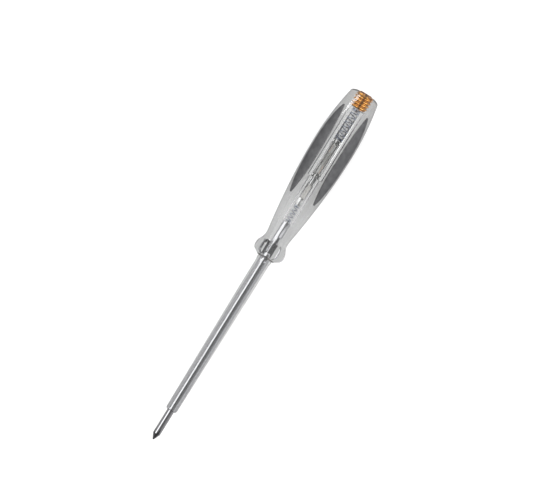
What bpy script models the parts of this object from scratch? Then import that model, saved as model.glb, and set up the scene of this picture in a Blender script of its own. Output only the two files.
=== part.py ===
"""Voltage tester screwdriver, in metres, lying on its side with its front face up.

Each piece is modelled along the tool's own axis, where +Z runs from the blade's point to the butt and +X
faces the front. One empty carries them all and lays the tool down: its +Z is the world's +X, and its
+X the world's +Z.
"""

import math

import bmesh
import bpy
from mathutils import Vector

# Clearances
FIT_GAP = 0.0003  # between pieces that touch
THREAD_GAP = 0.0002  # all round the end screw's thread
OVERRUN = 0.001  # how far a cutter runs past what it cuts
MERGE = 0.000001

# Facets
ROUND_SIDES = 32
HANDLE_COLUMNS = 48
THREAD_COLUMNS = 24
ELECTRODE_SIDES = 16
LEAD_SIDES = 12
GRIP_RINGS_BEFORE_SWELL = 10
GRIP_RINGS_BEHIND_SWELL = 6
DOME_RINGS = 4
SHARP_ANGLE = math.radians(35)

# Blade
BLADE_REACH = 0.0995  # from its point to the collar
BLADE_HOLD = 0.020  # from the collar's front to its end inside the handle
BLADE_RADIUS = 0.00175
BLADE_POINT_RADIUS = 0.00035
BLADE_POINT_LENGTH = 0.0031
BLADE_CHAMFER = 0.0001

# Flutes of the cross tip
FLUTE_COUNT = 4
FLUTE_LENGTH = 0.006
FLUTE_WEB = 0.0004  # from the axis to the flute's floor at the point
FLUTE_ANGLE = math.radians(92)

# Ears pressed out of the blade, which is squeezed flat between them
EAR_REACH = 0.0026
EAR_THICKNESS = 0.0015
EAR_CHAMFER = 0.0004
PRESS_MARGIN = 0.0003  # by which the pressed part ends short of the ears' ends
PRESS_COVER = 0.0002  # by which the ears cover the floor of the cut
EAR_SETBACK = 0.0032
EAR_SPACING = 0.0009
SIDE_EAR_LENGTH = 0.0047
FRONT_EAR_LENGTH = 0.0031

# Insulating sleeve
BARE_BLADE = 0.0157  # ahead of the sleeve
SLEEVE_FRONT_WALL = 0.00075
SLEEVE_REAR_WALL = 0.00137
SLEEVE_TAPER = 0.068  # length over which its wall thickens
SLEEVE_ROUND = 0.0004
SLEEVE_SOCKET = 0.0015  # depth of its seat in the collar

# Bead round the sleeve, just ahead of the collar
BEAD_HEIGHT = 0.00026
BEAD_LENGTH = 0.0017
BEAD_SLOPE = 0.0005
BEAD_GAP = 0.0002

# Collar of the handle
COLLAR_RADIUS = 0.00768
COLLAR_FLAT_DROP = 0.00098  # from the corners' circle to the flats
COLLAR_SIDES = 6
COLLAR_LIP = 0.0004
COLLAR_FRONT_SLOPE = 0.0034
COLLAR_RIM = 0.0018
COLLAR_BACK_SLOPE = 0.0060
# Along the slope, its height between the two radii that it joins, and how hexagonal it is there
FRONT_SLOPE_SHARES = ((0.0, 0.0, 0.0), (0.15, 0.19, 0.2), (0.59, 0.83, 0.9), (0.8, 0.95, 1.0))
BACK_SLOPE_SHARES = ((0.18, 0.86, 1.0), (0.42, 0.48, 0.7), (0.63, 0.19, 0.3), (0.82, 0.05, 0.08))

# Grip of the handle
NECK_RADIUS = 0.00573
GRIP_RADIUS = 0.010
SWELL_SETBACK = 0.0286  # from the butt to the widest section
RISE_POWER = 0.9
FACE_COUNT = 4
CORNER_SHARE = 0.10  # how far the section stands past a circle between two faces
FACES_SETBACK = 0.0065  # from the collar's front to where the faces begin
FACES_RISE = 0.006  # length over which they form

# Domed butt round the screw's mouth
BUTT_RADIUS = 0.0073  # at the dome's shoulder
DOME_REACH = 0.0023  # height of the whole dome over its shoulder
BUTT_RIM = 0.0004

# Soft inlays
INLAY_LENGTH = 0.0485
INLAY_BUTT_MARGIN = 0.0086
INLAY_HALF_WIDTH = 0.0030
INLAY_TIP_HALF_WIDTH = 0.0002
INLAY_DEPTH = 0.0012
INLAY_POINT_POWER = 2.6
INLAY_ROWS = 16
INLAY_COLUMNS = 4

# Springs
FRONT_WIRE_RADIUS = 0.0002
FRONT_SPRING_SPACE = 0.0094
FRONT_SPRING_TURNS = 5
FRONT_SPRING_INSET = 0.00015  # from the edge of its seats to the middle of the wire
REAR_WIRE_RADIUS = 0.00026
REAR_SPRING_SPACE = 0.0173
REAR_SPRING_TURNS = 8
CURL_POINTS = 10
BEND_POINTS = 3

# Resistor
RESISTOR_RADIUS = 0.00205
RESISTOR_PLAY = 0.00035
RESISTOR_LENGTH = 0.015
RESISTOR_CAP_LENGTH = 0.0039
RESISTOR_CAP_WALL = 0.00025
RESISTOR_CAP_END = 0.0006
RESISTOR_EDGE = 0.00015

# Glow lamp
LAMP_LENGTH = 0.020
LAMP_PLAY = 0.0004
LAMP_CAP_THICKNESS = 0.0014
LAMP_CAP_SPIGOT = 0.0010
LAMP_EDGE = 0.0002
GLASS_WALL = 0.0006
ELECTRODE_SHARE = 0.325  # of the lamp's length
ELECTRODE_RADIUS = 0.00045
ELECTRODE_OFFSET = 0.0008
ELECTRODE_EDGE = 0.0001
LEAD_RADIUS = 0.0002
LEAD_SHARE = 0.2  # of the lamp's length

# End screw and its thread
SCREW_LENGTH = 0.0085
SCREW_RADIUS = 0.0036
SCREW_PROUD = 0.0004  # past the butt's rim
SCREW_CHAMFER = 0.0004
THREAD_PITCH = 0.0016
THREAD_DEPTH = 0.0006
THREAD_CREST = 0.0003
THREAD_FLANK = math.radians(30)
THREAD_RUNOUT = 0.0006
LIMIT_TURN = math.radians(3.6)  # keeps the facets of the screw's ends off the thread's edges
SLOT_WIDTH = 0.0010
SLOT_DEPTH = 0.0013
MOUTH_CHAMFER = 0.0003

# Places along the axis, from the blade's point
collar_start = BLADE_REACH
blade_end = BLADE_REACH + BLADE_HOLD
resistor_start = blade_end + FRONT_SPRING_SPACE
lamp_start = resistor_start + RESISTOR_LENGTH + FIT_GAP
lamp_end = lamp_start + LAMP_LENGTH
lead_length = LAMP_LENGTH * LEAD_SHARE
electrode_length = LAMP_LENGTH * ELECTRODE_SHARE
screw_start = lamp_end + REAR_SPRING_SPACE
screw_end = screw_start + SCREW_LENGTH
butt = screw_end - SCREW_PROUD
neck = collar_start + COLLAR_FRONT_SLOPE + COLLAR_RIM + COLLAR_BACK_SLOPE
faces_start = collar_start + FACES_SETBACK
swell = butt - SWELL_SETBACK

# Radii that follow from a fit
sleeve_bore = BLADE_RADIUS + FIT_GAP
sleeve_front_radius = sleeve_bore + SLEEVE_FRONT_WALL
sleeve_rear_radius = sleeve_bore + SLEEVE_REAR_WALL
socket_radius = sleeve_rear_radius + FIT_GAP
collar_front_radius = socket_radius + COLLAR_LIP
resistor_bore = RESISTOR_RADIUS + RESISTOR_PLAY
screw_root = SCREW_RADIUS - THREAD_DEPTH
lamp_bore = screw_root + THREAD_GAP
lamp_radius = lamp_bore - LAMP_PLAY
glass_bore = lamp_radius - GLASS_WALL
mouth_radius = SCREW_RADIUS + THREAD_GAP + MOUTH_CHAMFER
rim_radius = mouth_radius + BUTT_RIM
dome_height = DOME_REACH * math.sqrt(1 - (rim_radius / BUTT_RADIUS) ** 2)
shoulder = butt - dome_height


def clear_scene():
    for old in list(bpy.data.objects):
        bpy.data.objects.remove(old, do_unlink=True)


def make_material(name, color, roughness, metallic=0.0, transmission=0.0):
    material = bpy.data.materials.new(name)
    material.use_nodes = True
    material.diffuse_color = (*color, 1.0)
    shader = material.node_tree.nodes["Principled BSDF"]
    shader.inputs["Base Color"].default_value = (*color, 1.0)
    shader.inputs["Roughness"].default_value = roughness
    shader.inputs["Metallic"].default_value = metallic
    shader.inputs["Transmission Weight"].default_value = transmission
    return material


def add_object(name, data, place):
    """Puts the data into the scene on the tool's axis, place metres from the blade's point."""
    obj = bpy.data.objects.new(name, data)
    bpy.context.scene.collection.objects.link(obj)
    obj.parent = bpy.data.objects["tester_axis"]
    obj.location = (0.0, 0.0, place)
    return obj


def finish_mesh(name, bm, place, material):
    bmesh.ops.recalc_face_normals(bm, faces=bm.faces)
    mesh = bpy.data.meshes.new(name)
    bm.to_mesh(mesh)
    bm.free()
    mesh.shade_smooth()
    mesh.set_sharp_from_angle(angle=SHARP_ANGLE)
    mesh.materials.append(material)
    return add_object(name, mesh, place)


def make_cutter(name, bm, place):
    cutter = finish_mesh(name, bm, place, bpy.data.materials["cutter"])
    cutter.hide_render = True
    cutter.display_type = "WIRE"
    return cutter


def cut(obj, cutter, operation="DIFFERENCE"):
    modifier = obj.modifiers.new(cutter.name, "BOOLEAN")
    modifier.operation = operation
    modifier.solver = "EXACT"
    modifier.object = cutter


def turned(outline, sides=ROUND_SIDES, tube=False):
    """Spins an outline of (radius, height) points about the axis; a tube's outline closes on itself."""
    bm = bmesh.new()
    verts = [bm.verts.new((radius, 0.0, height)) for radius, height in outline]
    edges = [bm.edges.new(pair) for pair in zip(verts, verts[1:])]
    if tube:
        edges.append(bm.edges.new((verts[-1], verts[0])))
    bmesh.ops.spin(
        bm,
        geom=verts + edges,
        cent=(0.0, 0.0, 0.0),
        axis=(0.0, 0.0, 1.0),
        angle=math.tau,
        steps=sides,
        use_merge=True,
    )
    bmesh.ops.remove_doubles(bm, verts=bm.verts, dist=MERGE)
    return bm


def rod_outline(radius, length, edge):
    """A solid rod's outline, with its two ends chamfered by edge."""
    return (
        (0.0, 0.0),
        (radius - edge, 0.0),
        (radius, edge),
        (radius, length - edge),
        (radius - edge, length),
        (0.0, length),
    )


def box(low, high):
    bm = bmesh.new()
    bmesh.ops.create_cube(bm, size=1.0)
    size = Vector(high) - Vector(low)
    bmesh.ops.scale(bm, vec=size, verts=bm.verts)
    bmesh.ops.translate(bm, vec=(Vector(low) + Vector(high)) / 2, verts=bm.verts)
    return bm


def extruded(outline, half_depth):
    """Extrudes an outline in the YZ plane by half_depth to both sides."""
    bm = bmesh.new()
    face = bm.faces.new([bm.verts.new((-half_depth, y, z)) for y, z in outline])
    grown = bmesh.ops.extrude_face_region(bm, geom=[face])["geom"]
    far = [item for item in grown if isinstance(item, bmesh.types.BMVert)]
    bmesh.ops.translate(bm, vec=(half_depth * 2, 0.0, 0.0), verts=far)
    return bm


def between_grids(outer, inner):
    """The closed shell between two grids of points of the same size."""
    bm = bmesh.new()
    rows, columns = len(outer), len(outer[0])
    sheets = [[[bm.verts.new(point) for point in row] for row in grid] for grid in (outer, inner)]
    for sheet in sheets:
        for i in range(rows - 1):
            for j in range(columns - 1):
                bm.faces.new((sheet[i][j], sheet[i][j + 1], sheet[i + 1][j + 1], sheet[i + 1][j]))
    rim = [(0, j) for j in range(columns)]
    rim += [(i, columns - 1) for i in range(1, rows)]
    rim += [(rows - 1, j) for j in range(columns - 2, -1, -1)]
    rim += [(i, 0) for i in range(rows - 2, 0, -1)]
    for (i, j), (k, m) in zip(rim, rim[1:] + rim[:1]):
        bm.faces.new((sheets[0][i][j], sheets[0][k][m], sheets[1][k][m], sheets[1][i][j]))
    bmesh.ops.triangulate(bm, faces=bm.faces)
    return bm


# Blade


def flute_cutter(number):
    """A wedge whose edge climbs from the web at the point to the blade's skin at the flute's end."""
    climb = (BLADE_RADIUS - FLUTE_WEB) / FLUTE_LENGTH
    far = BLADE_RADIUS + OVERRUN * 2
    sections = []
    for height in (-OVERRUN, FLUTE_LENGTH + OVERRUN):
        edge = FLUTE_WEB + climb * height
        spread = (far - edge) * math.tan(FLUTE_ANGLE / 2)
        sections.append([(edge, 0.0, height), (far, spread, height), (far, -spread, height)])
    bm = bmesh.new()
    low, high = [[bm.verts.new(point) for point in section] for section in sections]
    bm.faces.new(low)
    bm.faces.new(high)
    for i in range(len(low)):
        j = (i + 1) % len(low)
        bm.faces.new((low[i], low[j], high[j], high[i]))
    cutter = make_cutter(f"flute_cutter_{number}", bm, 0.0)
    cutter.rotation_euler.z = math.tau * (number + 0.5) / FLUTE_COUNT
    return cutter


def ear_plate(length, grow):
    """The plate that makes one pair of ears, or its slot in the handle when it is grown by a clearance."""
    reach = EAR_REACH + grow
    shoulder = reach - EAR_CHAMFER
    low, high = -grow, length + grow
    outline = [
        (shoulder, low),
        (reach, low + EAR_CHAMFER),
        (reach, high - EAR_CHAMFER),
        (shoulder, high),
        (-shoulder, high),
        (-reach, high - EAR_CHAMFER),
        (-reach, low + EAR_CHAMFER),
        (-shoulder, low),
    ]
    return extruded(outline, EAR_THICKNESS / 2 + grow)


def ear_pairs():
    """Name, start, length and turn of each pair of ears: the sideways pair, then the one to the front."""
    side_start = collar_start + EAR_SETBACK
    front_start = side_start + SIDE_EAR_LENGTH + EAR_SPACING
    return (
        ("side_ears", side_start, SIDE_EAR_LENGTH, 0.0),
        ("front_ears", front_start, FRONT_EAR_LENGTH, math.radians(90)),
    )


def press_cutter(name, start, length, side):
    """Takes away the blade between two ears, on one side of the plate that they make."""
    floor = (EAR_THICKNESS / 2 - PRESS_COVER) * side
    far = (BLADE_RADIUS + OVERRUN) * side
    across = BLADE_RADIUS + OVERRUN
    low = (min(floor, far), -across, PRESS_MARGIN)
    high = (max(floor, far), across, length - PRESS_MARGIN)
    return make_cutter(name, box(low, high), start)


def make_blade():
    steel = make_material("blade_steel", (0.62, 0.62, 0.64), 0.18, metallic=1.0)
    outline = (
        (0.0, 0.0),
        (BLADE_POINT_RADIUS, 0.0),
        (BLADE_RADIUS, BLADE_POINT_LENGTH),
        (BLADE_RADIUS, blade_end - BLADE_CHAMFER),
        (BLADE_RADIUS - BLADE_CHAMFER, blade_end),
        (0.0, blade_end),
    )
    blade = finish_mesh("blade", turned(outline), 0.0, steel)
    for number in range(FLUTE_COUNT):
        cut(blade, flute_cutter(number))
    for name, start, length, turn in ear_pairs():
        for side in (1, -1):
            press = press_cutter(f"{name}_press_{side}", start, length, side)
            press.rotation_euler.z = turn
            cut(blade, press)
        plate = make_cutter(name, ear_plate(length, 0.0), start)
        plate.rotation_euler.z = turn
        cut(blade, plate, "UNION")


def make_sleeve():
    clear = make_material("sleeve_plastic", (0.82, 0.83, 0.84), 0.1, transmission=0.9)
    length = collar_start + SLEEVE_SOCKET - FIT_GAP - BARE_BLADE
    bead_end = collar_start - BEAD_GAP - BARE_BLADE
    bead_start = bead_end - BEAD_LENGTH
    bead_radius = sleeve_rear_radius + BEAD_HEIGHT
    outline = (
        (sleeve_bore, 0.0),
        (sleeve_front_radius - SLEEVE_ROUND, 0.0),
        (sleeve_front_radius, SLEEVE_ROUND),
        (sleeve_rear_radius, SLEEVE_TAPER),
        (sleeve_rear_radius, bead_start),
        (bead_radius, bead_start + BEAD_SLOPE),
        (bead_radius, bead_end),
        (sleeve_rear_radius, bead_end),
        (sleeve_rear_radius, length),
        (sleeve_bore, length),
    )
    finish_mesh("blade_sleeve", turned(outline, tube=True), BARE_BLADE, clear)


# Handle


def hexagon_radius(angle, corner_radius):
    """The collar's rim: flats, with their corners on the rim's circle."""
    side = math.tau / COLLAR_SIDES
    from_flat = (angle + side / 2) % side - side / 2
    return min(corner_radius, (corner_radius - COLLAR_FLAT_DROP) / math.cos(from_flat))


def grip_radius(height):
    """Radius of the grip's four faces at a height from the blade's point."""
    if height < swell:
        rise = math.sin((height - neck) / (swell - neck) * math.pi / 2) ** RISE_POWER
        return NECK_RADIUS + (GRIP_RADIUS - NECK_RADIUS) * rise
    fall = ((min(height, shoulder) - swell) / (shoulder - swell)) ** 2
    return GRIP_RADIUS - (GRIP_RADIUS - BUTT_RADIUS) * fall


def fullness(height, angle):
    """How far the rounded corners between the grip's faces stand past a circle, as a factor."""
    along = min(1.0, max(0.0, (height - faces_start) / FACES_RISE))
    share = CORNER_SHARE * along**2 * (3 - 2 * along)
    return 1 + share * (1 - math.cos(FACE_COUNT * angle)) / 2


def skin_radius(height, angle):
    """Radius of the grip's skin: four faces with rounded corners, and the dome at the butt."""
    radius = grip_radius(height) * fullness(height, angle)
    into_dome = max(0.0, height - shoulder) / DOME_REACH
    dome_radius = BUTT_RADIUS * math.sqrt(1 - into_dome**2)
    share = (dome_radius - rim_radius) / (BUTT_RADIUS - rim_radius)
    return rim_radius + (radius - rim_radius) * share


def collar_rings():
    """(height, radius at a corner, how hexagonal) of each ring of the collar, front to back."""
    rim_start = collar_start + COLLAR_FRONT_SLOPE
    rim_end = rim_start + COLLAR_RIM
    rings = []
    for along, height_share, hexagonal in FRONT_SLOPE_SHARES:
        radius = collar_front_radius + (COLLAR_RADIUS - collar_front_radius) * height_share
        rings.append((collar_start + COLLAR_FRONT_SLOPE * along, radius, hexagonal))
    rings += [(rim_start, COLLAR_RADIUS, 1.0), (rim_end, COLLAR_RADIUS, 1.0)]
    for along, height_share, hexagonal in BACK_SLOPE_SHARES:
        radius = NECK_RADIUS + (COLLAR_RADIUS - NECK_RADIUS) * height_share
        rings.append((rim_end + COLLAR_BACK_SLOPE * along, radius, hexagonal))
    return rings


def grip_heights():
    """Heights of the grip's rings, from the neck to the butt, closer together towards the dome's top."""
    heights = []
    for start, end, rings in (
        (neck, swell, GRIP_RINGS_BEFORE_SWELL),
        (swell, shoulder, GRIP_RINGS_BEHIND_SWELL),
    ):
        heights += [start + (end - start) * i / rings for i in range(rings)]
    turns = [math.pi / 2 * i / DOME_RINGS for i in range(DOME_RINGS + 1)]
    return heights + [shoulder + dome_height * math.sin(turn) for turn in turns]


def handle_shell():
    """The handle's outside as one closed loft, before its bore and pockets are cut."""
    angles = [math.tau * i / HANDLE_COLUMNS for i in range(HANDLE_COLUMNS)]
    sections = []
    for height, radius, hexagonal in collar_rings():
        radii = []
        for angle in angles:
            between = radius + (hexagon_radius(angle, radius) - radius) * hexagonal
            radii.append(between * fullness(height, angle))
        sections.append((height, radii))
    for height in grip_heights():
        sections.append((height, [skin_radius(height, angle) for angle in angles]))
    bm = bmesh.new()
    rings = []
    for height, radii in sections:
        ring = [
            bm.verts.new((radius * math.cos(angle), radius * math.sin(angle), height))
            for radius, angle in zip(radii, angles)
        ]
        rings.append(ring)
    for low, high in zip(rings, rings[1:]):
        for i in range(HANDLE_COLUMNS):
            j = (i + 1) % HANDLE_COLUMNS
            bm.faces.new((low[i], low[j], high[j], high[i]))
    bm.faces.new(rings[0])
    bm.faces.new(rings[-1])
    bmesh.ops.triangulate(bm, faces=bm.faces)
    return bm


def bore_cutter():
    """The stepped bore: sleeve socket, blade, front spring and resistor, lamp and rear spring, mouth."""
    front, back = collar_start - OVERRUN, butt + OVERRUN
    blade_bore = BLADE_RADIUS + FIT_GAP
    mouth_start = butt - (mouth_radius - lamp_bore)
    outline = (
        (0.0, front),
        (socket_radius, front),
        (socket_radius, collar_start + SLEEVE_SOCKET),
        (blade_bore, collar_start + SLEEVE_SOCKET),
        (blade_bore, blade_end),
        (resistor_bore, blade_end),
        (resistor_bore, lamp_start - FIT_GAP),
        (lamp_bore, lamp_start - FIT_GAP),
        (lamp_bore, mouth_start),
        (mouth_radius + OVERRUN, back),
        (0.0, back),
    )
    return make_cutter("bore_cutter", turned(outline), 0.0)


def inlay_slab(centre, grow, top):
    """A lens of the grip's skin round an angle, grown by a clearance; top is its height over the skin."""
    start = butt - INLAY_BUTT_MARGIN - INLAY_LENGTH
    outer, inner = [], []
    for row in range(INLAY_ROWS + 1):
        share = (1 - math.cos(math.pi * row / INLAY_ROWS)) / 2
        height = start - grow + (INLAY_LENGTH + grow * 2) * share
        fullness = 1 - abs(2 * share - 1) ** INLAY_POINT_POWER
        half_width = INLAY_TIP_HALF_WIDTH + (INLAY_HALF_WIDTH - INLAY_TIP_HALF_WIDTH) * fullness + grow
        outer_row, inner_row = [], []
        for column in range(INLAY_COLUMNS + 1):
            across = 2 * column / INLAY_COLUMNS - 1
            angle = centre + across * half_width / grip_radius(height)
            skin = skin_radius(height, angle)
            for points, radius in ((outer_row, skin + top), (inner_row, skin - INLAY_DEPTH - grow)):
                points.append((radius * math.cos(angle), radius * math.sin(angle), height))
        outer.append(outer_row)
        inner.append(inner_row)
    return between_grids(outer, inner)


def inlay_places():
    """Name and angle of each inlay, on the corner between two faces."""
    names = ("upper_right", "lower_right", "lower_left", "upper_left")
    return [(f"grip_inlay_{name}", math.tau * (i + 0.5) / FACE_COUNT) for i, name in enumerate(names)]


def make_handle():
    clear = make_material("handle_plastic", (0.86, 0.87, 0.87), 0.08, transmission=0.9)
    handle = finish_mesh("handle_body", handle_shell(), 0.0, clear)
    cut(handle, bore_cutter())
    for name, start, length, turn in ear_pairs():
        slot = make_cutter(f"{name}_slot", ear_plate(length, FIT_GAP), start)
        slot.rotation_euler.z = turn
        cut(handle, slot)
    for name, centre in inlay_places():
        cut(handle, make_cutter(f"{name}_pocket", inlay_slab(centre, FIT_GAP, OVERRUN), 0.0))
    cut(handle, thread_cutter())


def make_inlays():
    rubber = make_material("inlay_rubber", (0.13, 0.13, 0.135), 0.6)
    for name, centre in inlay_places():
        finish_mesh(name, inlay_slab(centre, 0.0, 0.0), 0.0, rubber)


# Springs


def spring_route(length, radius, turns, wire_radius):
    """Points of a coil whose ends turn up to stand square on their seats for one diameter of the wire."""
    stub = wire_radius * 2
    bend = wire_radius * 2
    coil_start = stub + bend
    coil_length = length - coil_start * 2
    lead_in = bend / radius
    route = [Vector((radius, 0.0, 0.0))]
    for i in range(BEND_POINTS + 1):
        turn = math.pi / 2 * i / BEND_POINTS
        angle = lead_in * (1 - math.cos(turn))
        height = stub + bend * math.sin(turn)
        route.append(Vector((radius * math.cos(angle), radius * math.sin(angle), height)))
    steps = CURL_POINTS * turns
    for i in range(1, steps):
        angle = lead_in + math.tau * turns * i / steps
        height = coil_start + coil_length * i / steps
        route.append(Vector((radius * math.cos(angle), radius * math.sin(angle), height)))
    last = lead_in + math.tau * turns
    for i in range(BEND_POINTS + 1):
        turn = math.pi / 2 * i / BEND_POINTS
        angle = last + lead_in * math.sin(turn)
        height = length - stub - bend * math.cos(turn)
        route.append(Vector((radius * math.cos(angle), radius * math.sin(angle), height)))
    route.append(Vector((radius * math.cos(last + lead_in), radius * math.sin(last + lead_in), length)))
    return route


def least_gap(route, wire_radius):
    """Smallest clear space between parts of the wire that are at least half a curl apart along it."""
    apart = CURL_POINTS // 2 + BEND_POINTS
    distances = [
        (first - second).length for i, first in enumerate(route) for second in route[i + apart :]
    ]
    return min(distances) - wire_radius * 2


def make_spring(name, place, length, radius, turns, wire_radius):
    route = spring_route(length, radius, turns, wire_radius)
    print(f"{name}: least gap to itself {least_gap(route, wire_radius) * 1000:.2f} mm")
    curve = bpy.data.curves.new(name, "CURVE")
    curve.dimensions = "3D"
    curve.bevel_depth = wire_radius
    curve.bevel_resolution = 1
    curve.use_fill_caps = True
    spline = curve.splines.new("POLY")
    spline.points.add(len(route) - 1)
    for point, place_on_route in zip(spline.points, route):
        point.co = (*place_on_route, 1.0)
    curve.materials.append(bpy.data.materials["spring_wire"])
    add_object(name, curve, place)


def make_springs():
    make_material("spring_wire", (0.55, 0.57, 0.6), 0.25, metallic=1.0)
    front_radius = min(RESISTOR_RADIUS, BLADE_RADIUS) - FRONT_SPRING_INSET
    front_length = FRONT_SPRING_SPACE - FIT_GAP * 2
    make_spring(
        "front_spring", blade_end + FIT_GAP, front_length, front_radius, FRONT_SPRING_TURNS, FRONT_WIRE_RADIUS
    )
    rear_radius = lamp_bore - FIT_GAP - REAR_WIRE_RADIUS
    rear_length = REAR_SPRING_SPACE - FIT_GAP * 2
    make_spring(
        "rear_spring", lamp_end + FIT_GAP, rear_length, rear_radius, REAR_SPRING_TURNS, REAR_WIRE_RADIUS
    )


# Resistor


def cap_outline():
    """A cup's outline, with its closed end at height zero."""
    inside = RESISTOR_RADIUS - RESISTOR_CAP_WALL
    return (
        (0.0, 0.0),
        (RESISTOR_RADIUS - RESISTOR_EDGE, 0.0),
        (RESISTOR_RADIUS, RESISTOR_EDGE),
        (RESISTOR_RADIUS, RESISTOR_CAP_LENGTH),
        (inside, RESISTOR_CAP_LENGTH),
        (inside, RESISTOR_CAP_END),
        (0.0, RESISTOR_CAP_END),
    )


def make_resistor():
    ceramic = make_material("resistor_ceramic", (0.72, 0.7, 0.66), 0.45)
    tin = make_material("resistor_tin", (0.7, 0.7, 0.7), 0.22, metallic=1.0)
    radius = RESISTOR_RADIUS - RESISTOR_CAP_WALL - FIT_GAP
    covered = RESISTOR_CAP_END + FIT_GAP
    body = rod_outline(radius, RESISTOR_LENGTH - covered * 2, RESISTOR_EDGE)
    finish_mesh("resistor_body", turned(body), resistor_start + covered, ceramic)
    finish_mesh("resistor_front_cap", turned(cap_outline()), resistor_start, tin)
    rear_cap = finish_mesh("resistor_rear_cap", turned(cap_outline()), resistor_start + RESISTOR_LENGTH, tin)
    rear_cap.rotation_euler.x = math.pi


# Glow lamp


def lamp_cap_outline():
    """A disc with a spigot that enters the glass tube, its outer face at height zero."""
    spigot = glass_bore - FIT_GAP
    return (
        (0.0, 0.0),
        (lamp_radius - LAMP_EDGE, 0.0),
        (lamp_radius, LAMP_EDGE),
        (lamp_radius, LAMP_CAP_THICKNESS),
        (spigot, LAMP_CAP_THICKNESS),
        (spigot, LAMP_CAP_THICKNESS + LAMP_CAP_SPIGOT),
        (0.0, LAMP_CAP_THICKNESS + LAMP_CAP_SPIGOT),
    )


def make_electrode(end, side, place, turn):
    """A lead that stands on its cap and the electrode that it carries, beside the lamp's axis."""
    dumet = bpy.data.materials["lamp_dumet"]
    nickel = bpy.data.materials["lamp_nickel"]
    direction = math.cos(turn)
    lead = turned(rod_outline(LEAD_RADIUS, lead_length, ELECTRODE_EDGE), LEAD_SIDES)
    rod = turned(rod_outline(ELECTRODE_RADIUS, electrode_length, ELECTRODE_EDGE), ELECTRODE_SIDES)
    rod_place = place + direction * (lead_length + FIT_GAP)
    for piece in (
        finish_mesh(f"lamp_{end}_lead", lead, place, dumet),
        finish_mesh(f"lamp_{end}_electrode", rod, rod_place, nickel),
    ):
        piece.location.y = side * ELECTRODE_OFFSET
        piece.rotation_euler.x = turn


def make_lamp():
    glass = make_material("lamp_glass", (0.9, 0.9, 0.88), 0.05, transmission=0.95)
    plate = make_material("lamp_plate", (0.66, 0.66, 0.66), 0.3, metallic=1.0)
    make_material("lamp_nickel", (0.5, 0.49, 0.47), 0.35, metallic=1.0)
    make_material("lamp_dumet", (0.55, 0.33, 0.22), 0.35, metallic=1.0)
    glass_start = LAMP_CAP_THICKNESS + FIT_GAP
    glass_length = LAMP_LENGTH - glass_start * 2
    tube = ((glass_bore, 0.0), (lamp_radius, 0.0), (lamp_radius, glass_length), (glass_bore, glass_length))
    finish_mesh("lamp_glass", turned(tube, tube=True), lamp_start + glass_start, glass)
    finish_mesh("lamp_front_cap", turned(lamp_cap_outline()), lamp_start, plate)
    rear_cap = finish_mesh("lamp_rear_cap", turned(lamp_cap_outline()), lamp_end, plate)
    rear_cap.rotation_euler.x = math.pi
    inside = LAMP_CAP_THICKNESS + LAMP_CAP_SPIGOT + FIT_GAP
    make_electrode("front", 1, lamp_start + inside, 0.0)
    make_electrode("rear", -1, lamp_end - inside, math.pi)


# End screw


def threaded_rod(length, grow):
    """A right-hand thread, a pitch longer than length at each end, its crests grown by a clearance."""
    crest = SCREW_RADIUS + grow
    crest_low = (THREAD_PITCH - THREAD_CREST - grow) / 2
    crest_high = THREAD_PITCH - crest_low
    flank = (crest - screw_root) * math.tan(THREAD_FLANK)
    profile = (
        (crest_low - flank, screw_root),
        (crest_low, crest),
        (crest_high, crest),
        (crest_high + flank, screw_root),
    )
    per_turn = len(profile)
    rows = per_turn * (math.ceil(length / THREAD_PITCH) + 2) + 1
    bm = bmesh.new()
    columns = []
    for j in range(THREAD_COLUMNS):
        angle = math.tau * j / THREAD_COLUMNS
        climb = THREAD_PITCH * (j / THREAD_COLUMNS - 1)
        column = []
        for k in range(rows + per_turn if j == 0 else rows):
            offset, radius = profile[k % per_turn]
            height = climb + THREAD_PITCH * (k // per_turn) + offset
            column.append(bm.verts.new((radius * math.cos(angle), radius * math.sin(angle), height)))
        columns.append(column)
    columns.append(columns[0][per_turn:])
    for left, right in zip(columns, columns[1:]):
        for k in range(rows - 1):
            bm.faces.new((left[k], right[k], right[k + 1], left[k + 1]))
    seam = columns[0]
    low_rim = [column[0] for column in columns] + seam[per_turn - 1 : 0 : -1]
    high_rim = [column[rows - 1] for column in columns] + seam[rows + per_turn - 2 : rows - 1 : -1]
    for rim, reach in ((low_rim, -THREAD_PITCH), (high_rim, THREAD_PITCH)):
        level = sum(vert.co.z for vert in rim) / len(rim)
        centre = bm.verts.new((0.0, 0.0, level + reach))
        for first, second in zip(rim, rim[1:] + rim[:1]):
            bm.faces.new((first, second, centre))
    bmesh.ops.triangulate(bm, faces=bm.faces)
    return bm


def thread_cutter():
    """The end screw's thread with its clearance, from the run-out ahead of the screw to past the butt."""
    length = THREAD_RUNOUT + SCREW_LENGTH + OVERRUN
    cutter = make_cutter("thread_cutter", threaded_rod(length, THREAD_GAP), screw_start)
    outline = rod_outline(SCREW_RADIUS + OVERRUN, length, THREAD_DEPTH)
    limit = make_cutter("thread_limit", turned(outline, THREAD_COLUMNS), screw_start - THREAD_RUNOUT)
    cut(cutter, limit, "INTERSECT")
    return cutter


def make_end_screw():
    brass = make_material("screw_brass", (0.85, 0.55, 0.16), 0.22, metallic=1.0)
    screw = finish_mesh("end_screw", threaded_rod(SCREW_LENGTH, 0.0), screw_start, brass)
    outline = rod_outline(SCREW_RADIUS + SCREW_CHAMFER, SCREW_LENGTH, SCREW_CHAMFER * 2)
    limit = make_cutter("screw_limit", turned(outline, THREAD_COLUMNS), screw_start)
    limit.rotation_euler.z = LIMIT_TURN
    cut(screw, limit, "INTERSECT")
    across = SCREW_RADIUS + OVERRUN
    slot = box(
        (-SLOT_WIDTH / 2, -across, SCREW_LENGTH - SLOT_DEPTH),
        (SLOT_WIDTH / 2, across, SCREW_LENGTH + OVERRUN),
    )
    cut(screw, make_cutter("slot_cutter", slot, screw_start))


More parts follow.
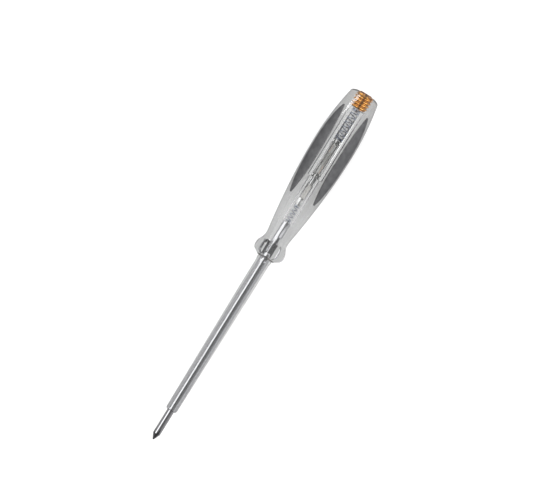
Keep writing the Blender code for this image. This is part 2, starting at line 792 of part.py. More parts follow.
def lay_down():
    """The empty that lays the tool on its side, over the middle of its box and touching the ground."""
    axis = bpy.data.objects.new("tester_axis", None)
    bpy.context.scene.collection.objects.link(axis)
    axis.rotation_euler = (math.pi, -math.pi / 2, 0.0)
    axis.location = (-screw_end / 2, 0.0, GRIP_RADIUS)


def main():
    clear_scene()
    make_material("cutter", (0.8, 0.2, 0.2), 0.5)
    lay_down()
    make_blade()
    make_sleeve()
    make_handle()
    make_inlays()
    make_springs()
    make_resistor()
    make_lamp()
    make_end_screw()


main()
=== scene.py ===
"""Looks of the voltage tester screwdriver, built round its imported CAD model.

The tool lies along X with its axis AXIS_HEIGHT above the floor. Shapes are given in millimetres,
the camera and the lamps in metres. An angle about the axis starts at the front face, which is up,
and turns towards -Y.
"""

import math

import bmesh
import bpy
import numpy as np
from mathutils import Matrix, Vector


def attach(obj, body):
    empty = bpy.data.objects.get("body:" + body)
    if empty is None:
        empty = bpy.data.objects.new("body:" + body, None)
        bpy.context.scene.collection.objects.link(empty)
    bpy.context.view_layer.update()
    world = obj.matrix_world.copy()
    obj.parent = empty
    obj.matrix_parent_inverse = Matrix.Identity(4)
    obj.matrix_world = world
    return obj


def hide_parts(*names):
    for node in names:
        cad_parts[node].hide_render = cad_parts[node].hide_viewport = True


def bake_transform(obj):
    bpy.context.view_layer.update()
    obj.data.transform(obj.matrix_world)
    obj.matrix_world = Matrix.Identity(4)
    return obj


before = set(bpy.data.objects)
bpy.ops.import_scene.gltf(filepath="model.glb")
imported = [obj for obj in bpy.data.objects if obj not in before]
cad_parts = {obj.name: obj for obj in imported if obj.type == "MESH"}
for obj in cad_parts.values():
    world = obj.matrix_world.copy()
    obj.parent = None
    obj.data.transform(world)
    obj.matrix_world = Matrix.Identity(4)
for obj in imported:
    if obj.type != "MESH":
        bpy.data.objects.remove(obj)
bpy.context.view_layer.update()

MM = 0.001
AXIS_HEIGHT = 10.0
HANDLE_COLUMNS = 192
SCREW_COLUMNS = 128
BLADE_COLUMNS = 96
SMALL_COLUMNS = 64
SHARP_ANGLE = math.radians(38)


# Node helpers

NOISE_LOW, NOISE_HIGH = 0.3, 0.7  # the part of a noise's values that is spread over a range
WHITE = (1.0, 1.0, 1.0, 1.0)
# Stretches of a texture: in no direction, along the axis and across it
EVEN = (1.0, 1.0, 1.0)
DRAWN = (0.06, 1.0, 1.0)
TURNED = (1.0, 0.3, 0.3)


def new_material(name, **sockets):
    """A node material; sockets are the values of its shader's inputs, with _ for a space."""
    material = bpy.data.materials.new(name)
    material.use_nodes = True
    tree = material.node_tree
    shader = tree.nodes["Principled BSDF"]
    for socket, value in sockets.items():
        shader.inputs[socket.replace("_", " ")].default_value = value
    return material, tree, shader


def add_node(tree, kind, links=(), **settings):
    """Adds a node; links are (input, source socket) and settings set its properties."""
    node = tree.nodes.new(kind)
    for key, value in settings.items():
        setattr(node, key, value)
    for socket, source in links:
        tree.links.new(source, node.inputs[socket])
    return node


def noise(tree, scale, detail=3.0, stretch=EVEN):
    coords = add_node(tree, "ShaderNodeTexCoord")
    mapping = add_node(tree, "ShaderNodeMapping", [("Vector", coords.outputs["Object"])])
    mapping.inputs["Scale"].default_value = stretch
    node = add_node(tree, "ShaderNodeTexNoise", [("Vector", mapping.outputs["Vector"])])
    node.inputs["Scale"].default_value = scale
    node.inputs["Detail"].default_value = detail
    return node.outputs["Fac"]


def spread(tree, source, low, high, start=NOISE_LOW, end=NOISE_HIGH):
    """Maps a source's values from start to end onto those from low to high."""
    node = add_node(tree, "ShaderNodeMapRange", [("Value", source)])
    node.inputs["From Min"].default_value = start
    node.inputs["From Max"].default_value = end
    node.inputs["To Min"].default_value = low
    node.inputs["To Max"].default_value = high
    return node.outputs["Result"]


def two_tone(tree, source, dark, light):
    ramp_node = add_node(tree, "ShaderNodeValToRGB", [("Fac", source)])
    stops = zip(ramp_node.color_ramp.elements, (NOISE_LOW, NOISE_HIGH), (dark, light))
    for element, place, color in stops:
        element.position = place
        element.color = (*color, 1.0)
    return ramp_node.outputs["Color"]


def math_node(tree, operation, first, second):
    node = add_node(tree, "ShaderNodeMath", [(0, first), (1, second)], operation=operation)
    return node.outputs[0]


def bump(tree, shader, height, strength, distance):
    node = add_node(tree, "ShaderNodeBump", [("Height", height)])
    node.inputs["Strength"].default_value = strength
    node.inputs["Distance"].default_value = distance
    tree.links.new(node.outputs["Normal"], shader.inputs["Normal"])


def let_lamps_through(tree, shader, tint):
    """Lets shadow rays and light from diffuse surfaces through, so that no dark shadow is cast."""
    path = add_node(tree, "ShaderNodeLightPath")
    either = math_node(
        tree, "MAXIMUM", path.outputs["Is Shadow Ray"], path.outputs["Is Diffuse Ray"]
    )
    clear = add_node(tree, "ShaderNodeBsdfTransparent")
    clear.inputs["Color"].default_value = (tint, tint, tint, 1.0)
    links = [(0, either), (1, shader.outputs[0]), (2, clear.outputs[0])]
    mix = add_node(tree, "ShaderNodeMixShader", links)
    output = next(node for node in tree.nodes if node.type == "OUTPUT_MATERIAL")
    tree.links.new(mix.outputs[0], output.inputs["Surface"])


def clear_plastic(name, tint, roughness, haze=0.0, ior=1.49, lamp_tint=0.9):
    """Moulded clear plastic, with faint flow marks and a little haze."""
    material, tree, shader = new_material(name, IOR=ior, Transmission_Weight=1.0 - haze)
    flow = noise(tree, scale=160.0, detail=2.0, stretch=(0.35, 1.0, 1.0))
    darker = tuple(value * 0.985 for value in tint)
    tree.links.new(two_tone(tree, flow, darker, tint), shader.inputs["Base Color"])
    tree.links.new(
        spread(tree, flow, low=roughness * 0.6, high=roughness * 1.4), shader.inputs["Roughness"]
    )
    waves = noise(tree, scale=220.0, detail=1.0, stretch=(0.4, 1.0, 1.0))
    bump(tree, shader, waves, strength=0.05, distance=0.00003)
    let_lamps_through(tree, shader, lamp_tint)
    return material


def touching_plastic(name):
    """A face of clear plastic that metal touches: without air between, it bends no light."""
    return clear_plastic(name, (0.99, 0.99, 0.99), 0.05, ior=1.0, lamp_tint=1.0)


def metal(name, dark, light, roughness, stretch, grain, bumps):
    """Metal whose tone and gloss vary along streaks, given by the texture's stretch."""
    material, tree, shader = new_material(name, Metallic=1.0)
    marks = noise(tree, grain, detail=4.0, stretch=stretch)
    tree.links.new(two_tone(tree, marks, dark, light), shader.inputs["Base Color"])
    tree.links.new(
        spread(tree, marks, low=roughness * 1.35, high=roughness * 0.7), shader.inputs["Roughness"]
    )
    bump(tree, shader, marks, strength=bumps, distance=0.0002)
    return material


# Mesh helpers

GRID_STEP = 0.01
LONGEST_ROUND = 0.45  # share of a side that the rounding of one of its ends may take


def ramp(x, start, reach):
    """Rises from 0 at start to 1 over reach."""
    return min(1.0, max(0.0, (x - start) / reach))


def box_mean(places, values, reach):
    """The polyline through places and values, its corners rounded over reach to both sides."""
    grid = np.arange(places[0] - reach * 2, places[-1] + reach * 2, GRID_STEP)
    count = max(1, int(round(reach * 2 / GRID_STEP)))
    smooth = np.convolve(np.interp(grid, places, values), np.ones(count) / count, "same")
    return lambda x: np.interp(x, grid[count:-count], smooth[count:-count])


def rounded(outline, reach, steps=3):
    """An (x, radius) outline with each of its corners rounded over reach."""
    done = [outline[0]]
    for before, corner, after in zip(outline, outline[1:], outline[2:]):
        corner = Vector(corner)
        back, ahead = Vector(before) - corner, Vector(after) - corner
        start = corner + back * min(reach / back.length, LONGEST_ROUND)
        end = corner + ahead * min(reach / ahead.length, LONGEST_ROUND)
        for i in range(steps + 1):
            t = i / steps
            done.append(tuple(start * (1 - t) ** 2 + corner * 2 * t * (1 - t) + end * t * t))
    return done + [outline[-1]]


def rounded_loop(outline, reach, steps=3):
    """The same for an outline whose end joins its start."""
    return rounded([outline[-1]] + list(outline) + [outline[0]], reach, steps)[1:-1]


def spot(x, radius, angle):
    """Metres of a point given by millimetres along the axis, radius and angle."""
    across, up = -radius * math.sin(angle), radius * math.cos(angle)
    return (x * MM, across * MM, (AXIS_HEIGHT + up) * MM)


def lofted(rows, columns, loop=False):
    """Points, faces and the faces' rows of the surface through rings of (x, radius or radii).

    A ring whose radii are all zero is one point.
    """
    angles = np.arange(columns) * math.tau / columns
    points, rings = [], []
    for x, radii in rows:
        radii = np.broadcast_to(np.asarray(radii, float), (columns,))
        first = len(points)
        if radii.any():
            across, up = -radii * np.sin(angles), radii * np.cos(angles)
            points += [(x * MM, a * MM, (AXIS_HEIGHT + b) * MM) for a, b in zip(across, up)]
            rings.append(list(range(first, first + columns)))
        else:
            points.append((x * MM, 0.0, AXIS_HEIGHT * MM))
            rings.append([first])
    faces, owners = [], []
    following = rings[1:] + rings[:1] if loop else rings[1:]
    for number, (low, high) in enumerate(zip(rings, following)):
        for i in range(columns):
            j = (i + 1) % columns
            if len(low) == 1:
                faces.append((low[0], high[i], high[j]))
            elif len(high) == 1:
                faces.append((low[i], high[0], low[j]))
            else:
                faces.append((low[i], high[i], high[j], low[j]))
            owners.append(number)
    return points, faces, owners


def scene_object(name, data):
    obj = bpy.data.objects.new(name, data)
    bpy.context.scene.collection.objects.link(obj)
    return obj


def mesh_object(name, points, faces):
    mesh = bpy.data.meshes.new(name)
    mesh.from_pydata(points, [], faces)
    return scene_object(name, mesh)


def face_outward(mesh):
    bm = bmesh.new()
    bm.from_mesh(mesh)
    bmesh.ops.recalc_face_normals(bm, faces=bm.faces)
    bm.to_mesh(mesh)
    bm.free()


def settle(obj, materials, nodes, body=None, sharp=SHARP_ANGLE):
    """Gives a piece its shading and materials, hides the CAD parts that it stands for and parents
    it to the body that it rides on.
    """
    face_outward(obj.data)
    obj.data.shade_smooth()
    obj.data.set_sharp_from_angle(angle=sharp)
    for material in materials:
        obj.data.materials.append(material)
    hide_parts(*nodes)
    if body:
        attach(obj, body)


def turned(name, outline, material, nodes, body, reach, loop=False):
    """A turned piece from an outline of (x, radius), corners rounded over reach."""
    outline = rounded_loop(outline, reach) if loop else rounded(outline, reach)
    points, faces, _ = lofted(outline, SMALL_COLUMNS, loop)
    settle(mesh_object(name, points, faces), [material], nodes, body)


def combine(obj, cutter, operation="DIFFERENCE"):
    """Cuts or joins another closed mesh into this one, and removes it."""
    face_outward(obj.data)
    face_outward(cutter.data)
    modifier = obj.modifiers.new("combine", "BOOLEAN")
    modifier.operation = operation
    modifier.solver = "EXACT"
    modifier.object = cutter
    depsgraph = bpy.context.evaluated_depsgraph_get()
    mesh = bpy.data.meshes.new_from_object(obj.evaluated_get(depsgraph))
    obj.modifiers.clear()
    obj.data = mesh
    bpy.data.objects.remove(cutter)


def block(name, low, high, edge=0.0, angle=0.0):
    """A bevelled block in millimetres along, across and up from the axis, turned about it."""
    bm = bmesh.new()
    bmesh.ops.create_cube(bm, size=1.0)
    low, high = Vector(low), Vector(high)
    for vert in bm.verts:
        vert.co = Vector([v * s for v, s in zip(vert.co, high - low)]) + (low + high) / 2
    if edge:
        bmesh.ops.bevel(
            bm, geom=bm.edges, offset=edge, segments=4, profile=0.5, affect="EDGES"
        )
    for vert in bm.verts:
        x, y, z = vert.co
        vert.co = Vector(spot(x, math.hypot(y, z), math.atan2(-y, z) + angle))
    mesh = bpy.data.meshes.new(name)
    bm.to_mesh(mesh)
    bm.free()
    return scene_object(name, mesh)


# Camera, lamps, world and floor

PIXEL = 0.46815  # millimetres that one of the picture's pixels shows
PICTURE_WIDTH = 550
CAMERA_PLACE = (0.0103, -0.002, 0.6)
CAMERA_TURN = math.radians(-58.27)


def make_camera():
    data = bpy.data.cameras.new("camera")
    data.type = "ORTHO"
    data.ortho_scale = PIXEL * PICTURE_WIDTH * MM
    camera = scene_object("camera", data)
    camera.location = CAMERA_PLACE
    camera.rotation_euler = (0.0, 0.0, CAMERA_TURN)
    bpy.context.scene.camera = camera


ALL_RAYS = "diffuse glossy transmission"
ALONG_X = (1.0, 0.0, 0.0)
# Name, place, size, radiance, rays, direction of the long side and X that the lamp faces
LAMPS = (
    ("key", (0.0, 0.442, 0.677), (1.6, 0.53), 1.6, ALL_RAYS, ALONG_X, 0.0),
    ("fill", (0.0, 0.0, 1.01), (1.2, 1.2), 1.4, "diffuse", ALONG_X, 0.0),
    ("low", (0.05, -0.75, 0.25), (1.0, 0.4), 2.0, "diffuse", ALONG_X, 0.0),
    # The long highlight on the grip's edge beside the screw
    ("edge", (0.358, 0.352, 0.674), (0.42, 0.09), 9.0, "glossy", (0.31, -0.9, 0.34), 0.09),
    ("side", (0.46, -0.63, 0.503), (0.9, 0.9), 0.9, "diffuse glossy", ALONG_X, 0.46),
    # What the metal inside the clear handle reflects
    ("inner", (0.13, 0.326, 0.138), (0.24, 0.2), 1.6, "transmission", ALONG_X, 0.13),
    ("waist", (0.033, -0.102, 0.09), (0.028, 0.148), 0.9, "transmission", ALONG_X, 0.033),
    ("screw", (0.074, -0.07, 0.045), (0.036, 0.07), 2.3, "transmission", ALONG_X, 0.09),
)


def area_lamp(name, place, size, radiance, rays, along, aim):
    """A soft lamp that faces the axis at X = aim, its long side turned along a direction.

    It lights only the named rays: those from diffuse surfaces, reflections outside, and what is
    seen through or inside clear pieces.
    """
    data = bpy.data.lights.new(name, "AREA")
    data.shape = "RECTANGLE"
    data.size, data.size_y = size
    data.energy = radiance * math.pi * size[0] * size[1]
    lamp = scene_object(name, data)
    back = (Vector(place) - Vector((aim, 0.0, AXIS_HEIGHT * MM))).normalized()
    side = (Vector(along) - back * back.dot(Vector(along))).normalized()
    facing = Matrix((side, back.cross(side), back)).transposed().to_4x4()
    lamp.matrix_world = Matrix.Translation(place) @ facing
    lamp.visible_camera = False
    lamp.visible_diffuse = "diffuse" in rays
    lamp.visible_glossy = "glossy" in rays
    lamp.visible_transmission = "transmission" in rays


WORLD_HORIZON = 0.4
WORLD_ZENITH = 0.14
WORLD_AHEAD = 0.03  # what metal mirrors from ahead of the tip
AHEAD_SHARE = 0.8
AHEAD_FADE = (-0.4, -0.1)  # X of the directions over which that share falls to nothing
WORLD_THROUGH = 0.72  # what clear pieces show from near the horizon
THROUGH_FADE = (0.05, 0.3)  # heights over which that falls to nothing
WORLD_SEEN = 1.0  # what the camera sees


def towards(tree, share, level, target):
    """A level moved towards a fixed target by a share."""
    mix = add_node(tree, "ShaderNodeMix", [(0, share), (2, level)], data_type="FLOAT")
    mix.inputs[3].default_value = target
    return mix.outputs[0]


def make_world():
    world = bpy.data.worlds.new("studio")
    bpy.context.scene.world = world
    world.use_nodes = True
    tree = world.node_tree
    coords = add_node(tree, "ShaderNodeTexCoord")
    parts = add_node(tree, "ShaderNodeSeparateXYZ", [(0, coords.outputs["Generated"])])
    path = add_node(tree, "ShaderNodeLightPath")
    level = spread(tree, parts.outputs["Z"], WORLD_HORIZON, WORLD_ZENITH, 0.0, 1.0)
    ahead = spread(tree, parts.outputs["X"], AHEAD_SHARE, 0.0, *AHEAD_FADE)
    mirrored = math_node(tree, "MULTIPLY", ahead, path.outputs["Is Glossy Ray"])
    level = towards(tree, mirrored, level, WORLD_AHEAD)
    low = spread(tree, parts.outputs["Z"], 1.0, 0.0, *THROUGH_FADE)
    through = math_node(tree, "MULTIPLY", path.outputs["Is Transmission Ray"], low)
    level = towards(tree, through, level, WORLD_THROUGH)
    level = towards(tree, path.outputs["Is Camera Ray"], level, WORLD_SEEN)
    background = tree.nodes["Background"]
    background.inputs["Color"].default_value = WHITE
    tree.links.new(level, background.inputs["Strength"])
    bpy.context.scene.view_settings.view_transform = "Standard"


FLOOR_HALF = 2.0
FLOOR_TONE = 0.32
# The floor's own glow by the kind of ray, which makes the pale background
FLOOR_GLOW = {"Is Camera Ray": 0.78, "Is Transmission Ray": 0.3, "Is Glossy Ray": 0.03}


def make_floor():
    signs = ((-1, -1), (1, -1), (1, 1), (-1, 1))
    corners = [(x * FLOOR_HALF, y * FLOOR_HALF, 0.0) for x, y in signs]
    floor = mesh_object("floor", corners, [(0, 1, 2, 3)])
    material, tree, shader = new_material("floor_paper", Roughness=0.9, Specular_IOR_Level=0.0)
    tone = (FLOOR_TONE, FLOOR_TONE, FLOOR_TONE)
    darker = tuple(value * 0.995 for value in tone)
    grain = noise(tree, 900.0)
    tree.links.new(two_tone(tree, grain, darker, tone), shader.inputs["Base Color"])
    path = add_node(tree, "ShaderNodeLightPath")
    total = None
    for ray, glow in FLOOR_GLOW.items():
        share = spread(tree, path.outputs[ray], 0.0, glow, 0.0, 1.0)
        total = share if total is None else math_node(tree, "MAXIMUM", total, share)
    shader.inputs["Emission Color"].default_value = WHITE
    tree.links.new(total, shader.inputs["Emission Strength"])
    floor.data.materials.append(material)


# Handle

COLLAR_START = 4.5
NECK = 15.7
SWELL = 66.0
BUTT = 94.6
COLLAR_RADIUS = 7.68
COLLAR_FLAT = 6.7
CORNER_ROUND = 0.3
NECK_RADIUS = 5.73
GRIP_RADIUS = 10.0
GRIP_RISE_POWER = 0.9
BUTT_RADIUS = 7.3
RIM_RADIUS = 4.5
DOME_REACH = 2.3
SHOULDER = BUTT - DOME_REACH * math.sqrt(1 - (RIM_RADIUS / BUTT_RADIUS) ** 2)
# The grip's corners stand out by this share of its radius, from a start and over a reach
CORNER_SHARE = 0.1
CORNERS_START, CORNERS_REACH = 11.0, 6.0
# X, radius at a corner and how hexagonal the section is there
COLLAR = (
    (COLLAR_START, 4.0, 0.0),
    (5.0, 4.7, 0.2),
    (6.5, 7.05, 0.9),
    (7.2, 7.5, 1.0),
    (7.9, COLLAR_RADIUS, 1.0),
    (9.7, COLLAR_RADIUS, 1.0),
    (10.8, 7.41, 1.0),
    (12.2, 6.67, 0.7),
    (13.5, 6.1, 0.3),
    (14.6, 5.83, 0.08),
    (NECK, NECK_RADIUS, 0.0),
)
WAIST_ROWS = COLLAR[4:]
# Reaches over which the collar's radii, those behind it and its section are smoothed
COLLAR_SMOOTHING, WAIST_SMOOTHING, SECTION_SMOOTHING = 0.35, 1.5, 0.45
WAIST_START, WAIST_REACH = 12.5, 2.0
PLAIN_GRIP = 30.0  # X from where the grip's formula alone gives the skin
GRIP_SAMPLES = list(np.arange(NECK + 0.5, 40.0, 0.5))
FRONT_RIM = (3.68, 3.8, 3.9)
MOUTH_LIP = ((0.03, 4.38), (0.0, 4.16))  # how far past the butt, and radius
FINE_END = 15.0  # X up to where the skin's rings stand close

SOCKET_RADIUS = 3.7
SOCKET_END = 6.0
BLADE_BORE = 1.9
BLADE_BORE_END = 24.5
RESISTOR_BORE = 2.4
RESISTOR_BORE_END = 48.9
LAMP_BORE = 3.2
LAMP_BORE_END = 85.5
BORE_ROUND = 0.12
MOUTH_RADIUS = 4.1
MOUTH_START = BUTT - MOUTH_RADIUS + LAMP_BORE

SCREW_START = 86.5
SCREW_END = 95.0
PITCH = 1.6
THREAD_STEP = 0.05
THREAD_ROUND = 0.05
SCREW_CREST = 3.35
SCREW_ROOT = 3.0
SEAT_START = 85.9
SEAT_RUN_IN = 0.6
SEAT_ROOT = 3.1
SEAT_CREST = 3.55
# Where along a pitch a thread rises and falls
SCREW_FLANKS = (0.2, 0.62, 0.98, 1.4)
SEAT_FLANKS = (0.204, 0.55, 1.05, 1.396)

SKIN_SLOT, BORE_SLOT, TOUCHING_SLOT = range(3)


def rounded_hexagon(angles):
    """Radius of the collar's section: flats with rounded corners."""
    side = math.pi / 3
    inner = COLLAR_FLAT - CORNER_ROUND
    from_flat = np.abs((angles + side / 2) % side - side / 2)
    flat_end = math.atan(inner * math.tan(side / 2) / COLLAR_FLAT)
    centre = inner / math.cos(side / 2)
    off = side / 2 - from_flat
    inside = np.maximum(0.0, CORNER_ROUND**2 - (centre * np.sin(off)) ** 2)
    arc = centre * np.cos(off) + np.sqrt(inside)
    return np.where(from_flat <= flat_end, COLLAR_FLAT / np.cos(from_flat), arc)


def grip_radius(x):
    """Radius of the grip's four faces."""
    if x < SWELL:
        rise = math.sin(max(0.0, x - NECK) / (SWELL - NECK) * math.pi / 2) ** GRIP_RISE_POWER
        return NECK_RADIUS + (GRIP_RADIUS - NECK_RADIUS) * rise
    fall = ((min(x, SHOULDER) - SWELL) / (SHOULDER - SWELL)) ** 2
    return GRIP_RADIUS - (GRIP_RADIUS - BUTT_RADIUS) * fall


def fullness(x, angles):
    """How far the grip's rounded corners stand past its faces, as a factor."""
    along = ramp(x, CORNERS_START, CORNERS_REACH)
    share = CORNER_SHARE * along**2 * (3 - 2 * along)
    return 1 + share * (1 - np.cos(4 * angles)) / 2


corner_radius = box_mean(
    [COLLAR_START - 2] + [row[0] for row in COLLAR] + GRIP_SAMPLES,
    [COLLAR[0][1]] + [row[1] for row in COLLAR] + [grip_radius(x) for x in GRIP_SAMPLES],
    COLLAR_SMOOTHING,
)
waist_radius = box_mean(
    [row[0] for row in WAIST_ROWS] + GRIP_SAMPLES,
    [row[1] for row in WAIST_ROWS] + [grip_radius(x) for x in GRIP_SAMPLES],
    WAIST_SMOOTHING,
)
hexagonal = box_mean(
    [COLLAR_START - 2] + [row[0] for row in COLLAR],
    [0.0] + [row[2] for row in COLLAR],
    SECTION_SMOOTHING,
)


def skin(x, angles):
    """Radii of the handle's outside at x."""
    if x >= PLAIN_GRIP:
        face = grip_radius(x) * fullness(x, angles)
        dome = BUTT_RADIUS * math.sqrt(1 - (max(0.0, x - SHOULDER) / DOME_REACH) ** 2)
        return RIM_RADIUS + (face - RIM_RADIUS) * (dome - RIM_RADIUS) / (BUTT_RADIUS - RIM_RADIUS)
    waist = ramp(x, WAIST_START, WAIST_REACH)
    radius = corner_radius(x) * (1 - waist) + waist_radius(x) * waist
    drop = hexagonal(x) * (COLLAR_RADIUS - rounded_hexagon(angles))
    return (radius - drop) * fullness(x, angles)


def thread_profile(flanks):
    """Height of a thread along its pitch, from 0 at the root to 1 at the crest."""
    places = [-0.3, *flanks, PITCH + 0.3]
    return box_mean(places, [0.0, 0.0, 1.0, 1.0, 0.0, 0.0], THREAD_ROUND)


def thread_radii(profile, x, angles, root, crest, run_in=1.0):
    """Radii of a right-hand thread at x; run_in is the share of its depth that it has there."""
    phase = (x - SCREW_START - PITCH * angles / math.tau) % PITCH
    return root + (crest - root) * (profile(phase) * run_in)


def handle_rows():
    """Rings of the handle's skin, then those of its bore from the butt to the collar."""
    angles = np.arange(HANDLE_COLUMNS) * math.tau / HANDLE_COLUMNS
    outside = [(COLLAR_START, radius) for radius in FRONT_RIM]
    places = list(np.arange(COLLAR_START + 0.05, FINE_END, 0.1))
    places += list(np.arange(FINE_END, SHOULDER - 0.3, 0.6))
    for turn in np.linspace(-0.1, 1.0, 26) * math.pi / 2:
        places.append(SHOULDER + (BUTT - SHOULDER) * math.sin(turn))
    outside += [(x, skin(x, angles)) for x in places]
    outside += [(BUTT + past, radius) for past, radius in MOUTH_LIP]
    profile = thread_profile(SEAT_FLANKS)
    inside = []
    for x in np.arange(BUTT - 0.04, SEAT_START - 0.1, -THREAD_STEP):
        run_in = ramp(x, SEAT_START, SEAT_RUN_IN)
        radii = thread_radii(profile, x, angles, SEAT_ROOT, SEAT_CREST, run_in)
        inside.append((x, np.maximum(radii, LAMP_BORE + (x - MOUTH_START))))
    bore = [
        (LAMP_BORE_END, LAMP_BORE),
        (RESISTOR_BORE_END, LAMP_BORE),
        (RESISTOR_BORE_END, RESISTOR_BORE),
        (BLADE_BORE_END, RESISTOR_BORE),
        (BLADE_BORE_END, BLADE_BORE),
        (SOCKET_END, BLADE_BORE),
        (SOCKET_END, SOCKET_RADIUS),
        (COLLAR_START + 0.06, SOCKET_RADIUS),
    ]
    return outside, inside + rounded(bore, BORE_ROUND)


def make_handle():
    materials = [
        clear_plastic("handle_skin", (0.925, 0.93, 0.93), 0.02, haze=0.02),
        clear_plastic("handle_bore", (0.97, 0.97, 0.97), 0.14, lamp_tint=1.0),
        touching_plastic("handle_seat"),
    ]
    outside, inside = handle_rows()
    points, faces, owners = lofted(outside + inside, HANDLE_COLUMNS, loop=True)
    shell = mesh_object("clear_handle", points, faces)
    settle(shell, materials, ["handle_body"], "handle")
    slots = [SKIN_SLOT] * len(outside)
    for x, _ in inside:
        touching = x > SCREW_START or SOCKET_END + 0.1 < x < BLADE_BORE_END - 0.1
        slots.append(TOUCHING_SLOT if touching else BORE_SLOT)
    shell.data.polygons.foreach_set("material_index", [slots[owner] for owner in owners])


INLAY_START = 37.5
INLAY_LENGTH = 48.0
INLAY_HALF_WIDTH = 3.0
INLAY_TIP = 0.2
INLAY_DEPTH = 1.2
INLAY_POWER = 2.6
INLAY_LIFT = 0.01  # over the skin at its edge
INLAY_PROUD = 0.05  # and by how much more in its middle
INLAY_EDGE_POWER = 6
INLAY_ROWS = 110
INLAY_COLUMNS = 24


def inlay_material():
    material, tree, shader = new_material("inlay_soft", Roughness=0.6)
    mottle = noise(tree, 420.0, 5.0)
    tone = two_tone(tree, mottle, (0.075, 0.075, 0.079), (0.125, 0.125, 0.13))
    tree.links.new(tone, shader.inputs["Base Color"])
    tree.links.new(spread(tree, mottle, low=0.5, high=0.72), shader.inputs["Roughness"])
    bump(tree, shader, noise(tree, 2600.0, 4.0), strength=0.35, distance=0.0001)
    return material


def inlay_points(centre, lift):
    """Points of an inlay's outer sheet or floor; lift gives its height over the skin across it."""
    points = []
    for row in range(INLAY_ROWS + 1):
        share = (1 - math.cos(math.pi * row / INLAY_ROWS)) / 2
        x = INLAY_START + INLAY_LENGTH * share
        full = 1 - abs(2 * share - 1) ** INLAY_POWER
        half = INLAY_TIP + (INLAY_HALF_WIDTH - INLAY_TIP) * full
        for column in range(INLAY_COLUMNS + 1):
            across = 2 * column / INLAY_COLUMNS - 1
            angle = centre + across * half / grip_radius(x)
            radius = float(skin(x, np.array([angle]))[0]) + lift(across)
            points.append(spot(x, radius, angle))
    return points


def inlay_faces():
    """Faces of an inlay, for the points of its outer sheet and then those of its floor."""
    rows, columns = INLAY_ROWS + 1, INLAY_COLUMNS + 1

    def at(sheet, i, j):
        return sheet * rows * columns + i * columns + j

    faces = []
    for sheet in (0, 1):
        for i in range(INLAY_ROWS):
            for j in range(INLAY_COLUMNS):
                corners = ((i, j), (i, j + 1), (i + 1, j + 1), (i + 1, j))
                faces.append([at(sheet, *corner) for corner in corners])
    rim = [(0, j) for j in range(columns)] + [(i, columns - 1) for i in range(1, rows)]
    rim += [(rows - 1, j) for j in range(columns - 2, -1, -1)]
    rim += [(i, 0) for i in range(rows - 2, 0, -1)]
    for a, b in zip(rim, rim[1:] + rim[:1]):
        faces.append([at(0, *a), at(0, *b), at(1, *b), at(1, *a)])
    return faces


def make_inlays():
    rubber = inlay_material()
    faces = inlay_faces()
    for number, name in enumerate(("upper_right", "lower_right", "lower_left", "upper_left")):
        centre = math.tau * (number + 0.5) / 4
        points = inlay_points(
            centre, lambda across: INLAY_PROUD * (1 - abs(across) ** INLAY_EDGE_POWER) + INLAY_LIFT
        )
        points += inlay_points(centre, lambda across: -INLAY_DEPTH)
        piece = mesh_object(f"soft_inlay_{name}", points, faces)
        settle(piece, [rubber], [f"grip_inlay_{name}"], "handle")


# Blade and sleeve

BLADE_START = -95.0
BLADE_RADIUS = 1.75
BLADE_ROUND = 0.15
BLADE_CHAMFER = 0.1
BLADE_SHARP = math.radians(12)
POINT_RADIUS = 0.35
POINT_LENGTH = 3.1
FLUTE_WEB = 0.4
FLUTE_LENGTH = 6.0
FLUTE_ANGLE = math.radians(92)
FLUTE_TURN = math.radians(28)
FLUTE_MARGIN = 1.0  # by which a flute's wedge is longer than the flute at each end
FLUTE_FACING = 0.9  # a face of the tip whose normal is less radial than this is a flute's and gets the painted shade
EAR_REACH = 2.6
EAR_THICKNESS = 1.5
EAR_EDGE = 0.2
# X where a pair of ears starts, its length, its angle, its offset from the axis and along itself
EARS = ((7.7, 4.7, math.pi / 2, 0.0, -0.43), (13.3, 3.1, 0.0, -0.5, 0.0))
# What the press takes from the blade between two ears
PRESS_REACH = BLADE_RADIUS + 1.0
PRESS_COVER = 0.2
PRESS_MARGIN = 0.15
PRESS_EDGE = 0.3
# The punch's fine slanted marks on the faces of the side ears
MARKS = (0.6, 1.05, 1.5)
MARK_SLANT = math.radians(11)
MARK_WIDTH = 0.26
MARK_MARGIN = 0.4


def flute_wedge(number):
    """A wedge whose edge climbs from the web at the point to the blade's skin."""
    climb = (BLADE_RADIUS - FLUTE_WEB) / FLUTE_LENGTH
    far = BLADE_RADIUS + 2.0
    turn = math.tau * number / 4 + FLUTE_TURN
    points = []
    for along in (-FLUTE_MARGIN, FLUTE_LENGTH + FLUTE_MARGIN):
        edge = FLUTE_WEB + climb * along
        wide = (far - edge) * math.tan(FLUTE_ANGLE / 2)
        for out, side in ((edge, 0.0), (far, wide), (far, -wide)):
            angle = turn + math.atan2(side, out)
            points.append(spot(BLADE_START + along, math.hypot(out, side), angle))
    faces = [(0, 1, 2), (3, 5, 4), (0, 3, 4, 1), (1, 4, 5, 2), (2, 5, 3, 0)]
    return mesh_object(f"flute_{number}", points, faces)


def punch_mark(side, across):
    """The cutter of one mark, on the upper (1) or lower (-1) face of the side ears."""
    start, length, *_ = EARS[0]
    top, end = EAR_THICKNESS / 2, across + MARK_WIDTH
    over, floor = top + 0.5, top - MARK_WIDTH * math.tan(MARK_SLANT)
    section = ((across, top), (end, floor), (end, over), (across, over))
    points = []
    for x in (start + MARK_MARGIN, start + length - MARK_MARGIN):
        points += [(x * MM, y * MM, (AXIS_HEIGHT + side * z) * MM) for y, z in section]
    faces = [(0, 1, 2, 3), (7, 6, 5, 4), (0, 4, 5, 1), (1, 5, 6, 2), (2, 6, 7, 3), (3, 7, 4, 0)]
    return mesh_object("mark", points, faces)


